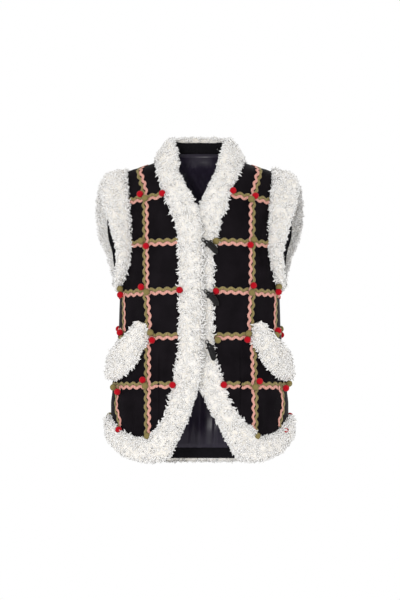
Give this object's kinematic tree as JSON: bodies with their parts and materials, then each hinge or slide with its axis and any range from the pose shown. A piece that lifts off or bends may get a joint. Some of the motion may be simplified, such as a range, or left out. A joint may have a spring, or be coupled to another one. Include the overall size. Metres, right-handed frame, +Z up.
{
  "type": "padded waistcoat",
  "caption": "Sleeveless black padded waistcoat in its worn hollow form, with wavy tape laid as a grid, felt pompoms, cream pile trim round every edge and horn toggles.",
  "frame": {"origin": "middle of the wearer's shoulders, level with the shoulder seams' outer ends, in the plane of the side seams", "axes": "+Z up along the body, -Y out of the front opening, +X to the right of someone who looks at the front"},
  "size_m": [0.4526, 0.2835, 0.722],
  "materials": {
    "shell": "matt black quilt-weight cotton",
    "lining": "dark violet satin with a soft sheen",
    "facing": "black cotton tape",
    "pile": "curly cream wool pile",
    "rickrack": "olive and pink wavy tape with felt balls in red and olive",
    "toggle": "polished black horn or its imitation",
    "cord": "black braided cord"
  },
  "bodies": {
    "root": {"back": "shell", "front_left": "shell", "front_right": "shell", "lining_back": "lining", "lining_front_left": "lining", "lining_front_right": "lining", "facing_neck": "facing", "facing_hem": "facing", "facing_armhole_left": "facing", "facing_armhole_right": "facing", "band_front_left": "pile", "band_front_right": "pile", "collar_back": "pile", "band_hem_back": "pile", "armhole_trim_left": "pile", "armhole_trim_right": "pile", "pocket_welt_left": "pile", "pocket_welt_right": "pile", "rickrack_front_left": "rickrack", "rickrack_front_right": "rickrack", "rickrack_back": "rickrack", "toggle_1": "toggle", "toggle_2": "toggle", "toggle_3": "toggle", "toggle_loop_1": "cord", "toggle_loop_2": "cord", "toggle_loop_3": "cord"}
  },
  "joints": []
}
